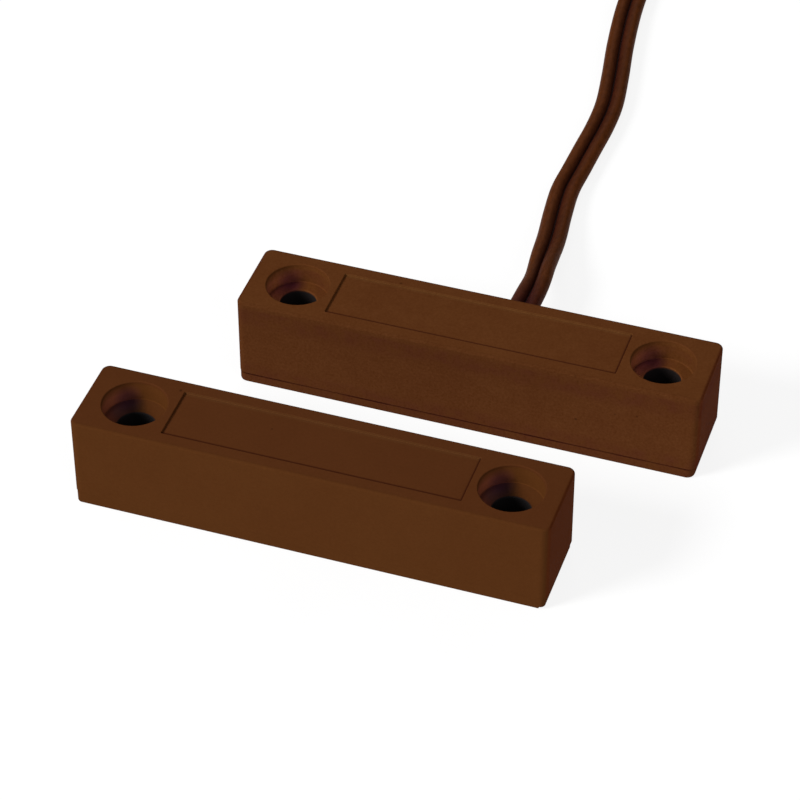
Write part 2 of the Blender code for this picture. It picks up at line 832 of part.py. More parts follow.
def tinned_end(key):
    """The bare conductor that stands out of a core's end."""
    route = tail_route(key)
    direction = (route[-1] - route[-2]).normalized()
    start = route[-1] + direction * 0.06 * MM
    end = start + direction * 4.5 * MM
    return rod(f"tinned_end_{key}", start, end, CONDUCTOR_RADIUS, solder(f"tinned_end_{key}_tin"), steps=12)


# ---------------------------------------------------------------- magnet


def bar_magnet():
    top = UNIT_HEIGHT - ROOF - FIT_GAP - ADHESIVE_BED - FIT_GAP
    center = (0, 0, top - MAGNET_SIDE / 2)
    size = (MAGNET_LENGTH, MAGNET_SIDE, MAGNET_SIDE)
    mat = ferrite("bar_magnet_ferrite")
    return rounded_block(
        "bar_magnet", size, center, MAGNET_CHAMFER, mat, steps=2, bottom_edge=MAGNET_CHAMFER
    )


def magnet_adhesive():
    top = UNIT_HEIGHT - ROOF - FIT_GAP
    center = (0, 0, top - ADHESIVE_BED / 2)
    size = (26.0 * MM, 5.0 * MM, ADHESIVE_BED)
    mat = silicone("magnet_adhesive_silicone")
    return rounded_block("magnet_adhesive", size, center, 1.5 * MM, mat, steps=4)


def magnet_foam_strip():
    top = UNIT_HEIGHT - ROOF - ADHESIVE_BED - MAGNET_SIDE - 3 * FIT_GAP
    bottom = MAGNET_PLATE + FIT_GAP
    center = (0, 0, (top + bottom) / 2)
    size = (28.0 * MM, 5.0 * MM, top - bottom)
    return rounded_block("magnet_foam_strip", size, center, 0.4 * MM, foam("magnet_foam"), steps=2)


# ---------------------------------------------------------------- assembly


def build_switch_unit():
    switch_housing()
    switch_base_plate()
    reed_glass_capsule()
    cable_adhesive_plug()
    for key in SIDES:
        reed_lead(key)
        reed_blade(key)
        reed_adhesive(key)
        wire_core(key)
        conductor(key)
        solder_joint(key)
        shrink_sleeve(key)


def build_lead():
    cable_coil()
    cable_tie()
    for key in SIDES:
        cable_core(key)
        cable_tail(key)
        tinned_end(key)


def build_magnet_unit():
    """Everything here, cutters too, is made round x = y = 0 and carried to its place by one empty."""
    earlier = set(bpy.data.objects.keys())
    magnet_housing()
    magnet_base_plate()
    bar_magnet()
    magnet_adhesive()
    magnet_foam_strip()
    members = [obj for obj in bpy.data.objects if obj.name not in earlier]
    unit = add_object("magnet_unit", None)
    unit.location = (MAGNET_X, MAGNET_Y, 0)
    for obj in members:
        obj.parent = unit


def main():
    clear_scene()
    build_switch_unit()
    build_lead()
    build_magnet_unit()


main()
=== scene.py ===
"""Looks of the door contact sensor: two brown moulded units and their twin flying lead.

+X runs along both units, +Y from the magnet unit to the switch unit, +Z is up. Metres.
"""

import functools
import math

import bmesh
import bpy
from mathutils import Matrix, Vector


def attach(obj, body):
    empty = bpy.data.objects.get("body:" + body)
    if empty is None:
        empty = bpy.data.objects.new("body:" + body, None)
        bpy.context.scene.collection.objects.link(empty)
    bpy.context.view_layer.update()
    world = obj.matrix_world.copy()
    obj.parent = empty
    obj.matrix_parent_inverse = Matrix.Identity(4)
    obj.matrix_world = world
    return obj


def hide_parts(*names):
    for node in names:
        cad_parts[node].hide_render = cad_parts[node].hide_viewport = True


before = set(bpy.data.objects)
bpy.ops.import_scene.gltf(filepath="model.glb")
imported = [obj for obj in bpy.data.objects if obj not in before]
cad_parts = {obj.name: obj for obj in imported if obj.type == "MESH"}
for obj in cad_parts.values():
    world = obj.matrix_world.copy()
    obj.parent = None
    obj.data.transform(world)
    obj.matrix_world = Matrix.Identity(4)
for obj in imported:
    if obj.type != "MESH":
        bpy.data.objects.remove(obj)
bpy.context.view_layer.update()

MM = 0.001

# ---------------------------------------------------------------- sizes, as in the CAD source

UNIT_LENGTH = 54.08 * MM
UNIT_WIDTH = 10.44 * MM
UNIT_HEIGHT = 11.59 * MM
CORNER_RADIUS = 0.95 * MM
EDGE_RADIUS = 0.3 * MM
WALL = 1.0 * MM
ROOF = 1.25 * MM
DRAFT = 0.08 * MM
SCREW_PITCH = 42.8 * MM
COUNTERBORE_RADIUS = 3.6 * MM
COUNTERBORE_DEPTH = 2.5 * MM
SEAT = UNIT_HEIGHT - COUNTERBORE_DEPTH
SCREW_RADIUS = 2.1 * MM
LEDGE = 1.3 * MM
BOSS_RADIUS = 3.2 * MM
CONE_DEPTH = 0.8 * MM
LABEL_LENGTH = 33.9 * MM
LABEL_WIDTH = 7.15 * MM
LABEL_DEPTH = 0.25 * MM
LABEL_HALF_X = LABEL_LENGTH / 2
LABEL_HALF_Y = LABEL_WIDTH / 2
LABEL_FLOOR = UNIT_HEIGHT - LABEL_DEPTH
SWITCH_PLATE = 1.3 * MM
MAGNET_PLATE = 1.6 * MM
PLATE_HOLE_RADIUS = 2.3 * MM
PLATE_SETBACK = 0.25 * MM
ROOM_HALF = 17.2 * MM
POCKET_HALF = 26.0 * MM
MAGNET_X = -9.83 * MM
MAGNET_Y = -24.87 * MM

CORE_RADIUS = 0.86 * MM
CORE_PITCH = 1.82 * MM
CABLE_X = 1.5 * MM
CABLE_Z = 4.5 * MM
SLOT_HALF_WIDTH = 1.98 * MM
SLOT_HALF_HEIGHT = 1.06 * MM
COIL_X = -24.4 * MM
COIL_Y = 106.0 * MM


# ---------------------------------------------------------------- mesh tools

SHARP_DEGREES = 32
SMALLEST_RADIUS = 0.00001


def link(name, data):
    obj = bpy.data.objects.new(name, data)
    bpy.context.scene.collection.objects.link(obj)
    return obj


def to_object(name, bm, sharp=SHARP_DEGREES):
    bmesh.ops.recalc_face_normals(bm, faces=bm.faces)
    mesh = bpy.data.meshes.new(name)
    bm.to_mesh(mesh)
    bm.free()
    mesh.shade_smooth()
    mesh.set_sharp_from_angle(angle=math.radians(sharp))
    return link(name, mesh)


def rectangle(half_x, half_y, radius, steps=12):
    """Counterclockwise points of a rectangle with round corners."""
    radius = max(radius, SMALLEST_RADIUS)
    points = []
    for sign_x, sign_y, start in ((1, 1, 0), (-1, 1, 90), (-1, -1, 180), (1, -1, 270)):
        for step in range(steps + 1):
            angle = math.radians(start + 90 * step / steps)
            x = sign_x * (half_x - radius) + radius * math.cos(angle)
            y = sign_y * (half_y - radius) + radius * math.sin(angle)
            points.append((x, y))
    return points


def skin(bm, loops):
    """Quads between rings of equal size."""
    rings = [[bm.verts.new(p) for p in loop] for loop in loops]
    for low, high in zip(rings, rings[1:]):
        for i in range(len(low)):
            j = (i + 1) % len(low)
            bm.faces.new((low[i], low[j], high[j], high[i]))
    return rings


def fill_ends(bm, rings):
    bm.faces.new(list(reversed(rings[0])))
    bm.faces.new(rings[-1])


def loft(name, loops):
    bm = bmesh.new()
    fill_ends(bm, skin(bm, loops))
    return to_object(name, bm)


def stacked(name, half_x, half_y, radius, levels, center=(0, 0), steps=12):
    """A block through (height, inset) levels, each a rounded rectangle."""
    loops = []
    for height, inset in levels:
        outline = rectangle(half_x - inset, half_y - inset, radius - inset, steps)
        loops.append([(center[0] + x, center[1] + y, height) for x, y in outline])
    return loft(name, loops)


def circle(radius, steps):
    angles = [2 * math.pi * i / steps for i in range(steps)]
    return [(radius * math.cos(angle), radius * math.sin(angle)) for angle in angles]


def lathe(name, profile, centers, steps):
    """Solids turned about upright axes from (radius, height) points that start and end on the axis."""
    bm = bmesh.new()
    for cx, cy in centers:
        loops = []
        for radius, height in profile[1:-1]:
            loops.append([(cx + x, cy + y, height) for x, y in circle(radius, steps)])
        fill_ends(bm, skin(bm, loops))
    return to_object(name, bm)


def solid_of(obj, steps):
    """The object after its boolean steps, with even shading, as one plain mesh."""
    for operation, tool in steps:
        modifier = obj.modifiers.new(tool.name, "BOOLEAN")
        modifier.operation = operation
        modifier.solver = "EXACT"
        modifier.object = tool
    bpy.context.view_layer.update()
    graph = bpy.context.evaluated_depsgraph_get()
    mesh = bpy.data.meshes.new_from_object(obj.evaluated_get(graph))
    name = obj.name
    for _, tool in steps:
        bpy.data.objects.remove(tool)
    bpy.data.objects.remove(obj)
    mesh.shade_smooth()
    mesh.set_sharp_from_angle(angle=math.radians(SHARP_DEGREES))
    made = link(name, mesh)
    shading = made.modifiers.new("even_shading", "WEIGHTED_NORMAL")
    shading.mode = "FACE_AREA"
    shading.weight = 100
    shading.keep_sharp = True
    return made


# ---------------------------------------------------------------- camera

CAMERA_TARGET = Vector((-8.317 * MM, -2.646 * MM, 0))
CAMERA_ANGLES = (18.58, 41.12, -0.09)
CAMERA_DISTANCE = 0.36459
CAMERA_LENS = 143.77


def aim_camera():
    azimuth, elevation, roll = map(math.radians, CAMERA_ANGLES)
    back = Vector(
        (
            math.sin(azimuth) * math.cos(elevation),
            -math.cos(azimuth) * math.cos(elevation),
            math.sin(elevation),
        )
    )
    data = bpy.data.cameras.new("camera")
    data.sensor_width = 36
    data.lens = CAMERA_LENS
    data.clip_start = 0.01
    data.clip_end = 20
    camera = link("camera", data)
    turn = (-back).to_track_quat("-Z", "Y").to_matrix().to_4x4()
    place = Matrix.Translation(CAMERA_TARGET + back * CAMERA_DISTANCE)
    camera.matrix_world = place @ turn @ Matrix.Rotation(roll, 4, "Z")
    bpy.context.scene.camera = camera


aim_camera()


# ---------------------------------------------------------------- the lead's route, in millimetres

ROUTE = [
    (1.50, 4.9, 4.50),
    (1.50, 8.5, 4.42),
    (1.55, 13.5, 4.05),
    (1.40, 19.0, 3.35),
    (0.74, 24.5, 2.43),
    (0.17, 29.5, 1.65),
    (-0.66, 35.0, 1.08),
    (-1.18, 40.0, 0.91),
    (-1.05, 44.5, 0.89),
    (-0.90, 49.0, 0.89),
    (-0.72, 54.0, 0.89),
    (-0.90, 59.0, 0.89),
    (-1.80, 65.0, 0.89),
    (-3.05, 72.0, 0.89),
    (-4.15, 80.0, 0.89),
    (-4.60, 87.0, 0.98),
    (-4.60, 93.7, 1.08),
]
OUTER_TURN = 19.85
INNER_TURN = 16.25
TAIL_TURN = 12.2
TAIL_END = 6.8
LAYER = 1.8
FLOOR_Z = 0.89
TILT_LOW = 0.91
TILT_RISE = 0.34
SPLIT_ANGLE = math.radians(-38)
SPLIT_SWEEP = math.radians(72)
TURN = 2 * math.pi
COIL_TURNS = 4
COIL_POINTS = 900
JOINT_POINTS = 12
ROUTE_SPACING = 0.8
TAIL_SPREAD = 1.5
TAIL_CURVE = 1.5

# Changes in the coil: before how many whole turns, and from and until how many radians before them.
STEP_UP = (1, 1.2, 0.6)
STEP_IN = (2, 2.15, 1.15)
STEP_DOWN = (3, 3.0, 2.25)
STEP_TO_TAIL = (4, 4.3, 3.0)


def catmull(points, pieces=14):
    """Points on a smooth curve through the given ones."""
    points = [Vector(p) for p in points]
    ends = [2 * points[0] - points[1], *points, 2 * points[-1] - points[-2]]
    fine = []
    for a, b, c, d in zip(ends, ends[1:], ends[2:], ends[3:]):
        for k in range(pieces):
            t = k / pieces
            fine.append(
                0.5
                * (
                    2 * b
                    + (c - a) * t
                    + (2 * a - 5 * b + 4 * c - d) * t * t
                    + (3 * b - a - 3 * c + d) * t * t * t
                )
            )
    fine.append(points[-1])
    return fine


def passed(angle, step):
    """0 before a change in the coil and 1 after it, eased between."""
    turns, start, end = step
    share = (angle - (turns * TURN - start)) / (start - end)
    share = min(1.0, max(0.0, share))
    return share * share * (3 - 2 * share)


def coil_point(angle, radius, z):
    return Vector((COIL_X / MM + radius * math.cos(angle), COIL_Y / MM + radius * math.sin(angle), z))


def coil_place(angle):
    """The lead in its coil: two outer turns, two inner turns, then in to where the cores part."""
    radius = OUTER_TURN
    radius += (INNER_TURN - OUTER_TURN) * passed(angle, STEP_IN)
    radius += (TAIL_TURN - INNER_TURN) * passed(angle, STEP_TO_TAIL)
    level = passed(angle, STEP_UP) - passed(angle, STEP_DOWN)
    tilted = TILT_LOW + TILT_RISE * (1 + math.sin(angle)) / 2
    rest = tilted + (FLOOR_Z - tilted) * passed(angle, STEP_TO_TAIL)
    return coil_point(angle, radius, rest + LAYER * level)


def tail_place(share, side=0):
    """The middle line, or one core, where the two cores part."""
    radius = TAIL_TURN + (TAIL_END - TAIL_TURN) * share
    spread = CORE_PITCH / MM / 2 + (TAIL_SPREAD * share) ** TAIL_CURVE
    return coil_point(SPLIT_ANGLE + SPLIT_SWEEP * share, radius + side * spread, FLOOR_Z)


def even(points, spacing):
    """The same line with points evenly spaced, in the points' unit."""
    lengths = [0.0]
    for a, b in zip(points, points[1:]):
        lengths.append(lengths[-1] + (b - a).length)
    count = max(2, round(lengths[-1] / spacing) + 1)
    made, index = [], 0
    for k in range(count):
        at = lengths[-1] * k / (count - 1)
        while index < len(lengths) - 2 and lengths[index + 1] < at:
            index += 1
        share = (at - lengths[index]) / max(lengths[index + 1] - lengths[index], 1e-12)
        made.append(points[index].lerp(points[index + 1], share))
    return made


def twin_route():
    """The two cores side by side, from the slot in the wall to where they part."""
    line = catmull(ROUTE)
    start = line[-1]
    joint = coil_place(0.0)
    for k in range(1, JOINT_POINTS):
        line.append(start.lerp(joint, k / JOINT_POINTS))
    last = COIL_TURNS * TURN + SPLIT_ANGLE
    line += [coil_place(last * k / COIL_POINTS) for k in range(COIL_POINTS + 1)]
    return even(line, ROUTE_SPACING)


# ---------------------------------------------------------------- materials

WHITE = (1.0, 1.0, 1.0)


def scaled(color, gains):
    return tuple(c * k for c, k in zip(color, gains))


def dimmed(color, gain):
    return tuple(c * gain for c in color)


class Paint:
    """A material's nodes, with a short call for each kind of node."""

    def __init__(self, name):
        self.mat = bpy.data.materials.new(name)
        self.mat.use_nodes = True
        self.nodes = self.mat.node_tree.nodes
        self.shader = self.nodes["Principled BSDF"]

    def feed(self, value, socket):
        """Put a number, a colour or another node's output into a socket."""
        if isinstance(value, float):
            socket.default_value = value
        elif isinstance(value, tuple):
            socket.default_value = (*value, 1.0)
        else:
            self.mat.node_tree.links.new(value, socket)

    def node(self, kind, vector=None, **settings):
        made = self.nodes.new("ShaderNode" + kind)
        for setting, value in settings.items():
            made.inputs[setting].default_value = value
        if vector is not None:
            self.feed(vector, made.inputs["Vector"])
        return made

    def place(self):
        return self.node("TexCoord").outputs["Object"]

    def moved(self, vector, **settings):
        return self.node("Mapping", vector, **settings).outputs["Vector"]

    def axes(self, vector):
        split = self.node("SeparateXYZ", vector)
        return [split.outputs[axis] for axis in "XYZ"]

    def noise(self, vector, scale, detail=4.0, roughness=0.5):
        return self.node("TexNoise", vector, Scale=scale, Detail=detail, Roughness=roughness).outputs["Fac"]

    def cells(self, vector, scale):
        return self.node("TexVoronoi", vector, Scale=scale).outputs

    def ramp(self, value, low, high, to_low=0.0, to_high=1.0):
        node = self.node("MapRange")
        ends = {"From Min": low, "From Max": high, "To Min": to_low, "To Max": to_high}
        for name, end in ends.items():
            node.inputs[name].default_value = end
        self.feed(value, node.inputs["Value"])
        return node.outputs["Result"]

    def after(self, value, edge, reach, top=1.0):
        """Rises from 0 to top over a reach, given in millimetres past the edge."""
        return self.ramp(value, edge + reach[0] * MM, edge + reach[1] * MM, 0.0, top)

    def until(self, value, edge, reach, top=1.0):
        """Falls from top to 0 over a reach, given in millimetres past the edge."""
        return self.ramp(value, edge + reach[0] * MM, edge + reach[1] * MM, top, 0.0)

    def math(self, operation, a, b=0.0):
        node = self.node("Math")
        node.operation = operation
        self.feed(a, node.inputs[0])
        self.feed(b, node.inputs[1])
        return node.outputs[0]

    def times(self, *values):
        return functools.reduce(functools.partial(self.math, "MULTIPLY"), values)

    def most(self, *values):
        return functools.reduce(functools.partial(self.math, "MAXIMUM"), values)

    def gap(self, vector, point):
        """How far a vector lies from a fixed point."""
        node = self.node("VectorMath")
        node.operation = "DISTANCE"
        self.feed(vector, node.inputs[0])
        node.inputs[1].default_value = point
        return node.outputs["Value"]

    def mix(self, factor, a, b, blend="MIX"):
        node = self.node("Mix")
        node.data_type = "RGBA"
        node.blend_type = blend
        self.feed(factor, node.inputs["Factor"])
        first, second = [socket for socket in node.inputs if socket.type == "RGBA"]
        self.feed(a, first)
        self.feed(b, second)
        return [socket for socket in node.outputs if socket.type == "RGBA"][0]

    def multiplied(self, tone, gain):
        return self.mix(1.0, tone, gain, "MULTIPLY")

    def tinted(self, tone, mask, gain):
        """The tone, multiplied by the gain where the mask is 1."""
        return self.mix(mask, tone, self.multiplied(tone, gain))

    def two_tone(self, pattern, spread, a, b):
        """Colour a where the pattern is low and b where it is high; spread is the change between them."""
        return self.mix(self.ramp(pattern, *spread), a, b)

    def finished(self, tone, rough, relief=None, depth=0.0, strength=1.0, extra=()):
        """Fill in the surface: colour, roughness, relief and other plain values."""
        self.feed(tone, self.shader.inputs["Base Color"])
        self.feed(rough, self.shader.inputs["Roughness"])
        for name, value in extra:
            self.shader.inputs[name].default_value = value
        if relief is not None:
            bump = self.node("Bump", Distance=depth, Strength=strength)
            self.feed(relief, bump.inputs["Height"])
            self.feed(bump.outputs["Normal"], self.shader.inputs["Normal"])
        return self.mat


# The part of a noise pattern's range that a change of tone or gloss is spread over.
MIDDLE = (0.3, 0.7)
CENTRAL = (0.35, 0.65)

# Where each mark starts and ends, in millimetres past the edge that it follows.
LINE_LEFT = (0.01, 0.06)
LINE_RIGHT = (-0.30, -0.15)
LINE_FRONT = (0.34, 0.50)
LINE_BELOW = (-0.12, -0.04)
LINE_ABOVE = (0.02, 0.06)
LINE_LEFT_DEPTH = 0.8
LABEL_SIDE = (0.0, 0.1)
THROAT_SIDE = (0.08, 0.20)
THROAT_TOP = (-0.30, -0.04)
BORE_SIDE = (0.05, 0.12)
BORE_RIM = (-0.4, -0.1)
STEP_START = (-0.05, -0.02)
STEP_END = (0.02, 0.05)
STEP_FOOT = (0.03, 0.06)
TOP_SKIN = (-0.03, -0.01)
BACK_START = (-0.50, -0.08)
BACK_END = (0.02, 0.05)
BACK_FOOT = (-0.05, -0.02)
PALE_SIDE = (-3.1, -0.6)
PALE_TOP = (1.1, 2.4)
SEAT_TOP = (0.01, 0.04)
CORNER_FOOT = (0.03, 0.22)
CORNER_SIDE = (-0.62, -0.20)
CORNER_LOW = (-0.9, -0.6)
CORNER_DEPTH = 0.8
TOP_SIDE = (-0.45, -0.12)
TOP_FOOT = (-0.30, -0.27)
END_SIDE = (-0.32, -0.11)

# A painted shadow in a counterbore: its middle from the hole's axis and the seat, and the reach of its
# fading.
WALL_SHADOW = ((-2.0, 2.8, 0.3), (0.6, 1.9))
SEAT_SHADOW = ((-2.2, 2.0, -0.3), (1.2, 2.6))


class Spot:
    """Where a shaded point lies on a unit, from the unit's middle and from the nearer screw's axis."""

    def __init__(self, paint, center):
        self.vector = paint.place()
        self.x, self.y, self.z = paint.axes(self.vector)
        self.aside = paint.math("ABSOLUTE", paint.math("ADD", self.x, -center[0]))
        self.across = paint.math("ABSOLUTE", paint.math("ADD", self.y, -center[1]))
        flat = paint.node("CombineXYZ")
        paint.feed(self.x, flat.inputs["X"])
        paint.feed(self.y, flat.inputs["Y"])
        screws = [(center[0] + side * SCREW_PITCH / 2, center[1], 0.0) for side in (-1, 1)]
        reaches = [paint.gap(flat.outputs["Vector"], screw) for screw in screws]
        self.off_axis = paint.math("MINIMUM", *reaches)


def label_masks(paint, at, center):
    """The painted shade lines round the label field's floor, the painted light on the ends of its step, and
    the painted highlight on its back edge.
    """
    cx, cy = center
    within_x = paint.until(at.aside, LABEL_HALF_X, LABEL_SIDE)
    within_y = paint.until(at.across, LABEL_HALF_Y, LABEL_SIDE)
    under_skin = paint.until(at.z, UNIT_HEIGHT, TOP_SKIN)
    # Painted shade: dark lines along the floor's left, right and front edges.
    border = paint.most(
        paint.until(at.x, cx - LABEL_HALF_X, LINE_LEFT, LINE_LEFT_DEPTH),
        paint.after(at.x, cx + LABEL_HALF_X, LINE_RIGHT),
        paint.until(at.y, cy - LABEL_HALF_Y, LINE_FRONT),
    )
    low = paint.until(at.z, LABEL_FLOOR, LINE_ABOVE)
    high = paint.after(at.z, LABEL_FLOOR, LINE_BELOW)
    line = paint.times(border, paint.times(low, high), within_x, within_y)
    # The step's ends, which take painted light.
    step = paint.times(
        paint.after(at.aside, LABEL_HALF_X, STEP_START),
        paint.until(at.aside, LABEL_HALF_X, STEP_END),
        paint.after(at.z, LABEL_FLOOR, STEP_FOOT),
        within_y,
        under_skin,
    )
    # The back wall and a strip of floor before it, which take a painted highlight.
    back = paint.times(
        paint.after(at.y, cy + LABEL_HALF_Y, BACK_START),
        paint.until(at.y, cy + LABEL_HALF_Y, BACK_END),
        within_x,
        paint.after(at.z, LABEL_FLOOR, BACK_FOOT),
        under_skin,
    )
    return line, step, back


def shadow_in_bores(paint, at, center, shadow):
    """The same patch of painted shadow in both counterbores."""
    (dx, dy, dz), fading = shadow
    patches = []
    for side in (-1, 1):
        middle = (center[0] + side * SCREW_PITCH / 2 + dx * MM, center[1] + dy * MM, SEAT + dz * MM)
        patches.append(paint.until(paint.gap(at.vector, middle), 0.0, fading))
    return paint.most(*patches)


def surface_masks(paint, center):
    """Where a unit's colour changes for painted light and shade: shaded lines and corners, holes,
    counterbores, label field, top and ends.
    """
    cx = center[0]
    at = Spot(paint, center)
    line, step, back = label_masks(paint, at, center)
    # The throat below the seat, painted near-black as shade.
    throat = paint.until(at.off_axis, SCREW_RADIUS, THROAT_SIDE)
    hole = paint.times(throat, paint.until(at.z, SEAT, THROAT_TOP))
    # Counterbore walls and the label step's ends, which take painted light.
    in_bore = paint.until(at.off_axis, COUNTERBORE_RADIUS, BORE_SIDE)
    wall_light = paint.most(paint.times(in_bore, paint.until(at.z, UNIT_HEIGHT, BORE_RIM)), step)
    # The left parts of the counterbores, which take stronger painted light.
    left_side = paint.until(at.x, cx - SCREW_PITCH / 2, PALE_SIDE)
    right_side = paint.until(at.x, cx + SCREW_PITCH / 2, PALE_SIDE)
    on_right = paint.after(at.x, cx, (0.0, 1.0))
    pale = paint.most(left_side, paint.times(right_side, on_right))
    left_wall_light = paint.times(wall_light, pale, paint.until(at.z, SEAT, PALE_TOP))
    # The seat, painted lighter on the switch unit and darker on the magnet unit.
    seat = paint.times(paint.until(at.z, SEAT, SEAT_TOP), in_bore)
    # Painted shade in the lower corner of those left parts.
    corner = paint.times(
        paint.until(at.z, SEAT, CORNER_FOOT),
        paint.after(at.off_axis, COUNTERBORE_RADIUS, CORNER_SIDE, CORNER_DEPTH),
        left_wall_light,
        paint.after(at.z, SEAT, CORNER_LOW),
    )
    # The top face, painted lighter.
    top = paint.times(
        paint.until(at.aside, UNIT_LENGTH / 2, TOP_SIDE),
        paint.until(at.across, UNIT_WIDTH / 2, TOP_SIDE),
        paint.after(at.z, UNIT_HEIGHT, TOP_FOOT),
    )
    return {
        "z": at.z,
        "corner_shade": paint.most(line, corner),
        "hole": hole,
        "top": top,
        # The end faces, painted in shade.
        "end": paint.after(at.aside, UNIT_LENGTH / 2, END_SIDE),
        "wall_light": wall_light,
        "left_wall_light": left_wall_light,
        "seat": seat,
        # A painted shadow on the seat.
        "seat_shadow": paint.times(shadow_in_bores(paint, at, center, SEAT_SHADOW), seat),
        # The painted highlight on the label field's back edge.
        "back": back,
        # A painted shadow on the counterbore wall.
        "wall_shadow": paint.times(shadow_in_bores(paint, at, center, WALL_SHADOW), wall_light),
    }


SEED_SHIFT = (0.731, 0.417, 0.263)
SPECK_SCALE = 430.0
SPECK_SIZE = (0.05, 0.09)
SPECK_RARITY = (0.80, 0.84)
SPECK_DEPTH = 0.55
SPECK_GAIN = 0.3
# Painted shade: its gain and strength in corners, then the near-black of the screw holes.
CORNER_SHADE_GAIN = (0.42, 0.24, 0.42)
CORNER_SHADE_DEPTH = 0.75
HOLE_SHADE_COLOR = (0.010, 0.011, 0.012)
HOLE_SHADE_DEPTH = 0.95
ABS_SPECULAR = 0.0008
LIGHT_AND_SHADE_ZONES = ("top", "end", "wall_light", "left_wall_light", "seat", "seat_shadow", "back", "wall_shadow")


def moulded_plastic(name, color, seed, center, finish):
    """Satin ABS: spark-eroded grain, slow colour drift, dark pellet specks, and painted light and shade for
    each zone.
    """
    paint = Paint(name)
    vector = paint.moved(paint.place(), Location=dimmed(SEED_SHIFT, seed))
    drift = paint.noise(vector, scale=95.0, detail=3.0)
    grain = paint.noise(vector, scale=3300.0, detail=5.0, roughness=0.70)
    blotch = paint.noise(vector, scale=520.0, detail=4.0, roughness=0.6)
    tone = paint.two_tone(drift, (0.38, 0.62), scaled(color, finish["cool"]), scaled(color, finish["warm"]))
    dim = paint.two_tone(blotch, MIDDLE, finish["dark_blotch"], finish["light_blotch"])
    tone = paint.multiplied(tone, dim)
    mask = surface_masks(paint, center)
    fine = paint.two_tone(grain, MIDDLE, finish["dark_grain"], finish["light_grain"])
    tone = paint.multiplied(tone, paint.mix(paint.times(mask["top"], finish["calm_top"]), fine, WHITE))
    cells = paint.cells(vector, SPECK_SCALE)
    chosen = paint.node("SeparateColor")
    paint.feed(cells["Color"], chosen.inputs["Color"])
    small = paint.ramp(cells["Distance"], *SPECK_SIZE, 1.0, 0.0)
    rare = paint.ramp(chosen.outputs["Red"], *SPECK_RARITY)
    tone = paint.mix(paint.times(small, rare, SPECK_DEPTH), tone, dimmed(color, SPECK_GAIN))
    # Painted light and shade for each zone: lighter top, shaded ends, lit walls and step ends, lit or shaded
    # seat, painted shadows in the counterbores, highlighted label back edge.
    for zone in LIGHT_AND_SHADE_ZONES:
        tone = paint.tinted(tone, mask[zone], finish[zone])
    if finish["handled"]:
        tone = handling_marks(paint, tone, vector, mask["z"], blotch, grain)
    # Painted shade along the label field's floor edges and in the counterbores' lower corners.
    tone = paint.mix(paint.times(mask["corner_shade"], CORNER_SHADE_DEPTH), tone, scaled(color, CORNER_SHADE_GAIN))
    # Painted shade down the screw holes.
    tone = paint.mix(paint.times(mask["hole"], HOLE_SHADE_DEPTH), tone, HOLE_SHADE_COLOR)
    rough = paint.ramp(grain, *MIDDLE, to_low=0.50, to_high=0.66)
    relief = paint.math("ADD", grain, paint.times(blotch, 0.8))
    dull = [("Specular IOR Level", ABS_SPECULAR)]
    return paint.finished(tone, rough, relief, depth=0.00001, strength=0.7, extra=dull)


# The reach of the rubbed bands and of the parting line, in millimetres past the top face or that line.
BAND_BELOW_TOP = (-3.4, -2.2)
BAND_TOP_END = (-0.9, -0.5)
BAND_OVER_PARTING = (0.9, 2.0)
PARTING_START = (-0.12, -0.05)
PARTING_END = (0.07, 0.15)
RUBBED_GAIN = (0.88, 0.79, 0.98)
FLECK_GAIN = (0.78, 0.66, 0.82)
PARTING_GAIN = (0.40, 0.26, 0.42)


def handling_marks(paint, tone, vector, z, blotch, grain):
    """Reddish rubbed bands under the top edge and over the parting line, and that dark line itself."""
    upper = paint.times(
        paint.after(z, UNIT_HEIGHT, BAND_BELOW_TOP),
        paint.until(z, UNIT_HEIGHT, BAND_TOP_END),
    )
    band = paint.most(upper, paint.until(z, SWITCH_PLATE, BAND_OVER_PARTING))
    tone = paint.tinted(tone, paint.times(band, paint.ramp(blotch, 0.36, 0.62)), RUBBED_GAIN)
    tone = paint.tinted(tone, paint.times(band, paint.ramp(grain, 0.60, 0.66)), FLECK_GAIN)
    line = paint.times(
        paint.after(z, SWITCH_PLATE, PARTING_START),
        paint.until(z, SWITCH_PLATE, PARTING_END),
    )
    depth = paint.ramp(paint.noise(vector, scale=160.0, detail=2.0), 0.36, 0.60, 0.45, 1.0)
    return paint.tinted(tone, paint.times(line, depth), PARTING_GAIN)


# The lead's map runs from 0 to 1 round the section, from the web of one core, and in millimetres along it.
STREAK_STRETCH = (26.0, 0.9, 1.0)
OTHER_WEB = 0.484
GROOVE_REACH = (0.02, 0.13)
GROOVE_SHADE_GAIN = (0.42, 0.34, 0.95)
HOUSING_REACH = (6.0, 14.0)
HOUSING_SHADE_GAIN = (0.60, 0.42, 1.40)
PVC_SPECULAR = 0.010


